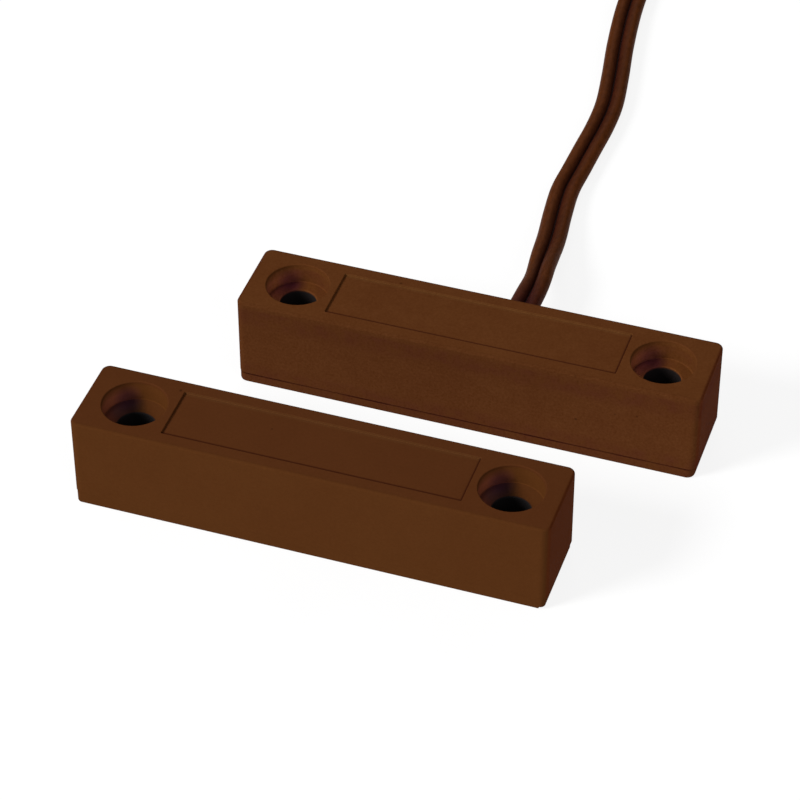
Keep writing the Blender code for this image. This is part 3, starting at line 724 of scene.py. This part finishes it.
def extruded_pvc(name, color):
    """Soft PVC insulation: marks along the run, a slow wave of tone, painted shade in the groove and near the
    unit.
    """
    paint = Paint(name)
    uv = paint.node("UVMap")
    uv.uv_map = "along"
    along = uv.outputs["UV"]
    streak = paint.noise(paint.moved(along, Scale=STREAK_STRETCH), scale=1.0, detail=4.0, roughness=0.6)
    place = paint.place()
    fine = paint.noise(place, scale=1900.0, detail=4.0, roughness=0.6)
    slow = paint.noise(place, scale=130.0, detail=2.0)
    tone = paint.two_tone(streak, CENTRAL, dimmed(color, 0.82), dimmed(color, 1.15))
    tone = paint.multiplied(tone, paint.two_tone(slow, CENTRAL, dimmed(WHITE, 0.93), dimmed(WHITE, 1.06)))
    around, run, _ = paint.axes(along)
    from_web = paint.math("MINIMUM", around, paint.math("SUBTRACT", 1.0, around))
    from_other = paint.math("ABSOLUTE", paint.math("ADD", around, -OTHER_WEB))
    groove = paint.ramp(paint.math("MINIMUM", from_web, from_other), *GROOVE_REACH, 1.0, 0.0)
    # Painted shade in the groove between the cores.
    tone = paint.tinted(tone, groove, GROOVE_SHADE_GAIN)
    # Painted shade on the lead where it leaves the unit.
    tone = paint.tinted(tone, paint.ramp(run, *HOUSING_REACH, 1.0, 0.0), HOUSING_SHADE_GAIN)
    rough = paint.ramp(fine, *MIDDLE, to_low=0.36, to_high=0.50)
    relief = paint.math("ADD", streak, paint.times(fine, 0.5))
    dull = [("Specular IOR Level", PVC_SPECULAR)]
    return paint.finished(tone, rough, relief, depth=0.00001, strength=0.7, extra=dull)


def metal(name, color, low, high, scale=900.0, stretch=(1.0, 1.0, 1.0)):
    """Drawn or cast metal with fine marks along the way it was drawn, as rough as low to high."""
    paint = Paint(name)
    marks = paint.noise(paint.moved(paint.place(), Scale=stretch), scale, detail=5.0, roughness=0.6)
    tone = paint.two_tone(marks, MIDDLE, dimmed(color, 0.88), color)
    rough = paint.ramp(marks, *MIDDLE, low, high)
    return paint.finished(tone, rough, marks, depth=0.000006, strength=0.5, extra=[("Metallic", 1.0)])


def cured_silicone(name, color, rough=0.4):
    """Rubbery surface with soft lumps; also used for sleeves and cores out of sight."""
    paint = Paint(name)
    lumps = paint.noise(paint.place(), scale=700.0, detail=3.0)
    tone = paint.two_tone(lumps, MIDDLE, dimmed(color, 0.9), color)
    rough = paint.ramp(lumps, *MIDDLE, to_low=rough - 0.06, to_high=rough + 0.08)
    return paint.finished(tone, rough, lumps, depth=0.00004, strength=0.6)


GRINDING_STRETCH = (0.05, 1.0, 1.0)


def sintered(name, color):
    """Ground ferrite: dark grey, pitted, with faint grinding marks along its length."""
    paint = Paint(name)
    marks = paint.noise(paint.moved(paint.place(), Scale=GRINDING_STRETCH), scale=2200.0, detail=4.0)
    pits = paint.noise(paint.place(), scale=1500.0, detail=5.0, roughness=0.7)
    tone = paint.two_tone(pits, (0.35, 0.6), dimmed(color, 0.5), color)
    rough = paint.ramp(marks, *MIDDLE, to_low=0.42, to_high=0.62)
    relief = paint.math("ADD", marks, pits)
    return paint.finished(tone, rough, relief, depth=0.00001, strength=0.6, extra=[("Metallic", 0.25)])


def cellular_foam(name, color):
    paint = Paint(name)
    wall = paint.ramp(paint.cells(paint.place(), 2800.0)["Distance"], 0.1, 0.7)
    tone = paint.mix(wall, dimmed(color, 0.4), dimmed(color, 1.5))
    return paint.finished(tone, 0.95, wall, depth=0.0001, strength=0.8)


def sealing_glass(name):
    paint = Paint(name)
    swirl = paint.noise(paint.place(), scale=260.0, detail=2.0)
    tone = paint.two_tone(swirl, MIDDLE, (0.70, 0.86, 0.77), (0.82, 0.93, 0.87))
    clear = [("IOR", 1.49), ("Transmission Weight", 1.0)]
    return paint.finished(tone, 0.03, swirl, depth=0.00002, strength=0.3, extra=clear)


def nylon(name, color):
    paint = Paint(name)
    cloud = paint.noise(paint.place(), scale=420.0, detail=3.0)
    tone = paint.two_tone(cloud, MIDDLE, dimmed(color, 0.94), color)
    rough = paint.ramp(cloud, *MIDDLE, to_low=0.32, to_high=0.46)
    milky = [
        ("Subsurface Weight", 0.15),
        ("Subsurface Radius", (0.001, 0.0009, 0.0008)),
        ("Subsurface Scale", 1.0),
    ]
    return paint.finished(tone, rough, cloud, depth=0.00001, strength=0.5, extra=milky)


CABLE_BROWN = (0.0690, 0.0182, 0.0043)
SWITCH_BROWN = (0.0700, 0.0227, 0.0067)
MAGNET_BROWN = (0.0647, 0.0216, 0.0059)
SWITCH_FINISH = {
    "warm": (1.02, 1.03, 1.03),
    "cool": (0.98, 0.965, 0.97),
    "dark_blotch": (0.955, 0.935, 0.92),
    "light_blotch": (1.045, 1.06, 1.075),
    "dark_grain": (0.82, 0.75, 0.64),
    "light_grain": (1.17, 1.23, 1.34),
    "calm_top": 0.4,
    "handled": True,
    # Gains from here on are painted light and shade.
    "top": (1.22, 1.22, 1.17),
    "end": (1.0, 0.74, 0.82),
    "wall_light": (1.42, 1.47, 1.30),
    "left_wall_light": (2.6, 2.4, 3.4),
    "seat": (1.20, 1.20, 1.15),
    "seat_shadow": (0.70, 0.60, 1.12),
    "back": (1.22, 1.42, 1.45),
    "wall_shadow": (0.70, 0.60, 1.12),
}
MAGNET_FINISH = {
    "warm": (1.012, 1.02, 1.02),
    "cool": (0.988, 0.98, 0.98),
    "dark_blotch": (0.98, 0.98, 0.975),
    "light_blotch": (1.02, 1.02, 1.025),
    "dark_grain": (0.93, 0.91, 0.88),
    "light_grain": (1.06, 1.08, 1.10),
    "calm_top": 0.15,
    "handled": False,
    # Gains from here on are painted light and shade.
    "top": (1.12, 1.05, 1.17),
    "end": (1.04, 0.75, 0.82),
    "wall_light": (1.36, 1.36, 1.26),
    "left_wall_light": (2.3, 1.9, 3.6),
    "seat": (0.78, 0.76, 0.85),
    "seat_shadow": (0.56, 0.74, 1.25),
    "back": (1.22, 1.42, 1.45),
    "wall_shadow": (0.60, 0.58, 1.15),
}
housing_abs = moulded_plastic("switch_unit_abs", SWITCH_BROWN, 1.0, (0.0, 0.0), SWITCH_FINISH)
magnet_abs = moulded_plastic("magnet_unit_abs", MAGNET_BROWN, 5.0, (MAGNET_X, MAGNET_Y), MAGNET_FINISH)
pvc = extruded_pvc("lead_pvc", CABLE_BROWN)
bright_tin = metal("tinned_wire", (0.66, 0.66, 0.68), 0.22, 0.38, 2600.0)


# ---------------------------------------------------------------- the lead

TWIN_SWELL = 1.02
HALF_WEB = 0.20 * MM
LEAN_DEGREES = 24
LEAN_PLACE = 21.0
LEAN_SPREAD = 4.0
LEAD_SHARP_DEGREES = 40
CORE_STEPS = 40
PATH_STEP = 3
PATH_TAIL = 16


def twin_section(arc=15):
    """Two round cores joined by a thin web, as (side, up) points; the seam of each core faces the other."""
    offset = CORE_PITCH / 2
    radius = CORE_RADIUS * TWIN_SWELL
    open_angle = math.asin(HALF_WEB / radius)
    points = []
    for middle, first in ((offset, math.pi - open_angle), (-offset, -open_angle)):
        for k in range(arc + 1):
            angle = first - (2 * math.pi - 2 * open_angle) * k / arc
            points.append((middle + radius * math.cos(angle), radius * math.sin(angle)))
    return points


def lean(point):
    """How far the flat lead leans over, in radians, where it sags between the slot and the floor."""
    return math.radians(LEAN_DEGREES) * math.exp(-(((point.y / MM - LEAN_PLACE) / LEAN_SPREAD) ** 2))


def level_axes(ahead):
    side = Vector((ahead.y, -ahead.x, 0)).normalized()
    return side, side.cross(ahead).normalized()


def sweep(bm, route, section, uv):
    """A section carried along a route, level but for its lean."""
    loops, along = [], [0.0]
    for i, point in enumerate(route):
        ahead = (route[min(i + 1, len(route) - 1)] - route[max(i - 1, 0)]).normalized()
        side, up = level_axes(ahead)
        turn = lean(point)
        side, up = side * math.cos(turn) + up * math.sin(turn), up * math.cos(turn) - side * math.sin(turn)
        loops.append([point + side * s + up * u for s, u in section])
        if i:
            along.append(along[-1] + (point - route[i - 1]).length)
    rings = skin(bm, loops)
    bm.faces.new(rings[0])
    bm.faces.new(list(reversed(rings[-1])))
    where = {}
    for k, ring in enumerate(rings):
        for i, vert in enumerate(ring):
            where[vert] = (i, along[k] / MM)
    count = len(section)
    for ring in rings:
        for vert in ring:
            for loop in vert.link_loops:
                i, run = where[vert]
                others = [where[v][0] for v in loop.face.verts]
                if i == 0 and max(others) == count - 1 and len(others) == 4:
                    i = count
                loop[uv].uv = (i / count, run)


def round_section(radius, steps=16):
    return [(x, -y) for x, y in circle(radius, steps)]


def flying_lead():
    bm = bmesh.new()
    uv = bm.loops.layers.uv.new("along")
    route = [p * MM for p in twin_route()]
    sweep(bm, route, twin_section(), uv)
    for side in (-1, 1):
        core = [tail_place(k / CORE_STEPS, side) * MM for k in range(CORE_STEPS + 1)]
        sweep(bm, core, round_section(CORE_RADIUS), uv)
    lead = to_object("flying_lead", bm, LEAD_SHARP_DEGREES)
    lead.data.materials.append(pvc)
    middle = [tail_place(k / PATH_TAIL) * MM for k in range(1, PATH_TAIL + 1)]
    last = [route[-1]] if (len(route) - 1) % PATH_STEP else []
    return lead, route[::PATH_STEP] + last + middle


TIP_SHARP_DEGREES = 60
TIP_LENGTH = 4.5 * MM
TIP_GAP = 0.02 * MM
TIP_RINGS = 45
TIP_STEPS = 28
TIP_ROUND_FROM = 0.93
TIP_END = 0.08
STRANDS = 7
STRAND_TWISTS = 3.2
BUNDLE_RADIUS = 0.285
STRAND_BULGE = 0.02


def tip_ring(run):
    """The twisted strands' outline, as (radius, angle) points, at a share of the tip's length."""
    shrink = 1.0
    if run > TIP_ROUND_FROM:
        shrink = math.sqrt(max(0.0, 1 - ((run - TIP_ROUND_FROM) / (1 - TIP_ROUND_FROM)) ** 2))
    points = []
    for i in range(TIP_STEPS):
        angle = 2 * math.pi * i / TIP_STEPS
        twist = angle * STRANDS + run * 2 * math.pi * STRAND_TWISTS
        radius = (BUNDLE_RADIUS + STRAND_BULGE * abs(math.sin(twist / 2))) * MM * max(shrink, TIP_END)
        points.append((radius, angle))
    return points


def tinned_tips():
    """The stripped, tinned strands at each core's end: a twisted bundle with a rounded tip."""
    tips = []
    for key, side in (("a", -1), ("b", 1)):
        end = tail_place(1.0, side) * MM
        before = tail_place(0.97, side) * MM
        ahead = (end - before).normalized()
        across, up = level_axes(ahead)
        loops = []
        for k in range(TIP_RINGS + 1):
            run = k / TIP_RINGS
            middle = end + ahead * (TIP_LENGTH * run + TIP_GAP)
            loops.append([
                middle + across * radius * math.cos(angle) + up * radius * math.sin(angle)
                for radius, angle in tip_ring(run)
            ])
        bm = bmesh.new()
        fill_ends(bm, skin(bm, loops))
        tip = to_object(f"tinned_strands_{key}", bm, TIP_SHARP_DEGREES)
        tip.data.materials.append(bright_tin)
        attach(tip, "switch_unit")
        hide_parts(f"tinned_end_{key}")
        tips.append(tip)
    return tips


lead, lead_path = flying_lead()
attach(lead, "switch_unit")
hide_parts("cable_core_a", "cable_core_b", "cable_coil", "cable_tail_a", "cable_tail_b")
tips = tinned_tips()


# ---------------------------------------------------------------- housings and plates

SEAM_EASE = ((0.0, 1.0), (0.4, 0.3), (1.0, 0.0))


def quarter(steps):
    """(drop, reach) pairs round an edge: how far below its top, and how far in from its side."""
    angles = [math.radians(90 * k / steps) for k in range(steps + 1)]
    return [(1 - math.sin(angle), 1 - math.cos(angle)) for angle in angles]


RIM = 0.14 * MM
BORE_CORNER = 0.1 * MM
CONE_RIM_DROP = 0.03 * MM


def hole_profile(seat_is_cone):
    """Half the outline of a screw hole: eased rim, counterbore, seat, throat."""
    foot = COUNTERBORE_RADIUS - BORE_CORNER
    profile = [(0, -MM), (SCREW_RADIUS, -MM)]
    if seat_is_cone:
        profile += [(SCREW_RADIUS, SEAT - CONE_DEPTH), (foot, SEAT - CONE_RIM_DROP)]
    else:
        profile += [(SCREW_RADIUS, SEAT - BORE_CORNER), (SCREW_RADIUS + BORE_CORNER, SEAT), (foot, SEAT)]
    profile.append((COUNTERBORE_RADIUS, SEAT + BORE_CORNER))
    profile += [(COUNTERBORE_RADIUS + RIM * reach, UNIT_HEIGHT - RIM * drop) for drop, reach in quarter(5)]
    return profile + [(COUNTERBORE_RADIUS + RIM, UNIT_HEIGHT + MM), (0, UNIT_HEIGHT + MM)]


LABEL_CORNER = 0.16 * MM
LABEL_EASE = 0.05 * MM
LABEL_FOOT = 0.03 * MM


def label_cutter(name, center):
    """The shallow label field, with an eased foot and an eased upper edge."""
    levels = [
        (LABEL_FLOOR, LABEL_EASE + LABEL_FOOT),
        (LABEL_FLOOR + LABEL_FOOT, LABEL_EASE),
        (UNIT_HEIGHT - LABEL_EASE, LABEL_EASE),
        (UNIT_HEIGHT - LABEL_EASE * 0.3, LABEL_EASE * 0.7),
        (UNIT_HEIGHT, 0.0),
        (UNIT_HEIGHT + 0.5 * MM, 0.0),
    ]
    half_x = LABEL_HALF_X + LABEL_EASE
    half_y = LABEL_HALF_Y + LABEL_EASE
    return stacked(name, half_x, half_y, LABEL_CORNER, levels, center, steps=4)


def slot_cutter():
    """The flat rounded hole in the back wall, with an eased outer rim."""
    back = UNIT_WIDTH / 2
    ease = 0.15 * MM
    stations = (
        (back - 2 * MM, 0),
        (back - ease, 0),
        (back - 0.04 * MM, 0.07 * MM),
        (back + 0.02 * MM, ease),
        (back + MM, ease),
    )
    loops = []
    for y, grow in stations:
        outline = rectangle(SLOT_HALF_WIDTH + grow, SLOT_HALF_HEIGHT + grow, SLOT_HALF_HEIGHT * 0.98 + grow)
        loops.append([(CABLE_X + x, y, CABLE_Z + z) for x, z in outline])
    return loft("cable_slot", loops)


def screw_axes(center):
    return [(center[0] - SCREW_PITCH / 2, center[1]), (center[0] + SCREW_PITCH / 2, center[1])]


BOSS_SINK = 0.1 * MM
BOSS_GRIP = 0.4 * MM
BOSS_STEPS = 64
HOLE_STEPS = 96
ROOM_OVERLAP = 0.5 * MM
ROOM_CORNER = 0.5 * MM


def housing(name, center, bottom, seam, seat_is_cone, openings=()):
    """An open-bottomed shell with two screw bosses; the seam is its eased lower edge."""
    levels = [(bottom + seam * rise, seam * inset) for rise, inset in SEAM_EASE]
    levels += [(UNIT_HEIGHT - EDGE_RADIUS * drop, EDGE_RADIUS * reach) for drop, reach in quarter(6)]
    shell = stacked(name, UNIT_LENGTH / 2, UNIT_WIDTH / 2, CORNER_RADIUS, levels, center)
    inner = UNIT_WIDTH / 2 - WALL
    ledge = SEAT - LEDGE
    pocket_levels = [(bottom - MM, 0), (ledge, 0)]
    pockets = stacked(name + "_pockets", POCKET_HALF, inner, ROOM_CORNER, pocket_levels, center, 4)
    room_levels = [(ledge - ROOM_OVERLAP, 0), (UNIT_HEIGHT - ROOF, 0)]
    room = stacked(name + "_room", ROOM_HALF, inner - DRAFT, ROOM_CORNER, room_levels, center, 4)
    foot = bottom + BOSS_SINK
    top = ledge + BOSS_GRIP
    boss = [(0, foot), (BOSS_RADIUS, foot), (BOSS_RADIUS, top), (0, top)]
    bosses = lathe(name + "_bosses", boss, screw_axes(center), BOSS_STEPS)
    holes = lathe(name + "_holes", hole_profile(seat_is_cone), screw_axes(center), HOLE_STEPS)
    label = label_cutter(name + "_label", center)
    steps = [("DIFFERENCE", tool) for tool in (pockets, room, label, *openings)]
    steps += [("UNION", bosses), ("DIFFERENCE", holes)]
    return solid_of(shell, steps)


FOOT_EASE = [(0.0, 0.27 * MM), (0.06 * MM, 0.13 * MM), (0.14 * MM, 0.05 * MM), (0.27 * MM, 0.0)]
LIP_GAP = 0.15 * MM
LIP_HEIGHT = 0.9 * MM
LIP_WALL = 0.8 * MM
LIP_CORNER = 0.4 * MM
WELL_CORNER = 0.3 * MM
WELL_HEIGHT = 1.8 * MM
REBATE_HALF = 0.65 * MM
REBATE_LEVELS = [(-0.4 * MM, 0.0), (0.37 * MM, 0.0), (0.4 * MM, 0.03 * MM)]
REBATE_CORNER = 0.03 * MM
PLATE_RIM = 0.12 * MM
PLATE_HOLE_STEPS = 72


def plate(name, center, thickness, left, right, corner, seam, rebate=False):
    """A closing plate with a locating lip; left and right are how far it stands beyond the housing."""
    cx, cy = center
    half_x = (UNIT_LENGTH + left + right) / 2
    upper = [(thickness - seam * drop, seam * inset) for drop, inset in reversed(SEAM_EASE)]
    levels = [*FOOT_EASE, *upper]
    body = stacked(name, half_x, UNIT_WIDTH / 2, corner, levels, (cx + (right - left) / 2, cy))
    lip_x = ROOM_HALF - LIP_GAP
    lip_y = UNIT_WIDTH / 2 - WALL - LIP_GAP
    lip_levels = [(thickness / 2, 0), (thickness + LIP_HEIGHT, 0)]
    steps = [("UNION", stacked(name + "_lip", lip_x, lip_y, LIP_CORNER, lip_levels, center, 4))]
    if rebate:
        place = (cx + UNIT_LENGTH / 2 - PLATE_SETBACK, cy)
        cut = stacked(name + "_rebate", REBATE_HALF, UNIT_WIDTH, REBATE_CORNER, REBATE_LEVELS, place, 2)
        steps.append(("DIFFERENCE", cut))
    well_levels = [(thickness, 0), (thickness + WELL_HEIGHT, 0)]
    well = stacked(name + "_well", lip_x - LIP_WALL, lip_y - LIP_WALL, WELL_CORNER, well_levels, center, 4)
    steps.append(("DIFFERENCE", well))
    profile = [(0, -MM), (PLATE_HOLE_RADIUS + PLATE_RIM, -MM)]
    profile += [(PLATE_HOLE_RADIUS + PLATE_RIM * drop, PLATE_RIM * reach) for drop, reach in quarter(4)]
    profile += [(PLATE_HOLE_RADIUS, thickness + MM), (0, thickness + MM)]
    steps.append(("DIFFERENCE", lathe(name + "_holes", profile, screw_axes(center), PLATE_HOLE_STEPS)))
    return solid_of(body, steps)


def dress(obj, body, node, mat):
    obj.data.materials.clear()
    obj.data.materials.append(mat)
    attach(obj, body)
    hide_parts(node)


SWITCH_SEAM = 0.06 * MM
SWITCH_GAP = 0.03 * MM
MAGNET_SEAM = 0.008 * MM
MAGNET_GAP = 0.004 * MM


def build_units():
    place = (0, 0)
    switch = housing("switch_shell", place, SWITCH_PLATE + SWITCH_GAP, SWITCH_SEAM, False, [slot_cutter()])
    dress(switch, "switch_unit", "switch_housing", housing_abs)
    ends = (-0.05 * MM, -PLATE_SETBACK)
    foot = plate("switch_foot", place, SWITCH_PLATE, *ends, CORNER_RADIUS, SWITCH_SEAM)
    dress(foot, "switch_unit", "switch_base_plate", housing_abs)
    place = (MAGNET_X, MAGNET_Y)
    magnet = housing("magnet_shell", place, MAGNET_PLATE + MAGNET_GAP, MAGNET_SEAM, True)
    dress(magnet, "magnet_unit", "magnet_housing", magnet_abs)
    ends = (-0.2 * MM, -PLATE_SETBACK)
    foot = plate("magnet_foot", place, MAGNET_PLATE, *ends, 0.6 * MM, MAGNET_SEAM, rebate=True)
    dress(foot, "magnet_unit", "magnet_base_plate", magnet_abs)


build_units()


# ---------------------------------------------------------------- pieces kept from the CAD model


def give(node, mat):
    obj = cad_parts[node]
    obj.data.materials.clear()
    obj.data.materials.append(mat)


def finish_cad_pieces():
    silicone = cured_silicone("silicone_bead", (0.60, 0.60, 0.56))
    drawn = metal("reed_nickel_iron", (0.58, 0.56, 0.53), 0.24, 0.4, 1500.0, (0.08, 1.0, 1.0))
    copper = metal("bare_copper", (0.80, 0.40, 0.24), 0.28, 0.42, 1500.0, (0.1, 1.0, 1.0))
    tin = metal("solder_tin", (0.66, 0.66, 0.68), 0.2, 0.36, 700.0)
    sleeve = cured_silicone("shrink_polyolefin", (0.014, 0.014, 0.015), 0.5)
    core = cured_silicone("core_pvc", CABLE_BROWN, 0.42)
    give("reed_glass_capsule", sealing_glass("capsule_glass"))
    give("cable_adhesive_plug", silicone)
    give("bar_magnet", sintered("ferrite", (0.055, 0.055, 0.062)))
    give("magnet_adhesive", silicone)
    give("magnet_foam_strip", cellular_foam("black_foam", (0.03, 0.03, 0.03)))
    give("cable_tie", nylon("natural_nylon", (0.72, 0.71, 0.66)))
    for key in ("a", "b"):
        give(f"reed_lead_{key}", drawn)
        give(f"reed_blade_{key}", drawn)
        give(f"reed_adhesive_{key}", silicone)
        give(f"wire_core_{key}", core)
        give(f"conductor_{key}", copper)
        give(f"solder_joint_{key}", tin)
        give(f"shrink_sleeve_{key}", sleeve)


finish_cad_pieces()


# ---------------------------------------------------------------- floor and light

FLOOR_HALF = 3.0
FLOOR_LEVEL = -0.00003
FLOOR_GLOW = 0.855
WORLD_GLOW = 0.22
LIGHT_TARGET = Vector((-0.005, 0.0, 0.0))
LIGHTS = (
    ("key", (-0.80, -0.72, 0.72), 0.40, 18.6),
    ("fill", (0.85, -0.76, 0.62), 0.8, 5.2),
    ("back", (-0.35, 1.25, 0.85), 0.9, 4.2),
)


def studio_floor():
    """A pale floor that glows a little, so that its shadows stay faint."""
    paint = Paint("studio_floor")
    paper = paint.noise(paint.place(), scale=40.0, detail=3.0)
    tone = paint.two_tone(paper, MIDDLE, dimmed(WHITE, 0.145), dimmed(WHITE, 0.16))
    glow = [
        ("Specular IOR Level", 0.1),
        ("Emission Color", (*WHITE, 1.0)),
        ("Emission Strength", FLOOR_GLOW),
    ]
    bm = bmesh.new()
    corners = ((-1, -1), (1, -1), (1, 1), (-1, 1))
    bm.faces.new([bm.verts.new((x * FLOOR_HALF, y * FLOOR_HALF, FLOOR_LEVEL)) for x, y in corners])
    floor = to_object("studio_floor", bm)
    floor.data.materials.append(paint.finished(tone, 0.95, extra=glow))


def studio_light():
    world = bpy.data.worlds.new("studio")
    world.use_nodes = True
    background = world.node_tree.nodes["Background"]
    background.inputs["Color"].default_value = (*WHITE, 1.0)
    background.inputs["Strength"].default_value = WORLD_GLOW
    bpy.context.scene.world = world
    for name, place, size, power in LIGHTS:
        data = bpy.data.lights.new(name, "AREA")
        data.shape = "DISK"
        data.size = size
        data.energy = power
        lamp = link(name, data)
        lamp.location = place
        lamp.rotation_mode = "QUATERNION"
        lamp.rotation_quaternion = (LIGHT_TARGET - Vector(place)).to_track_quat("-Z", "Y")


studio_floor()
studio_light()
bpy.context.scene.view_settings.view_transform = "Standard"
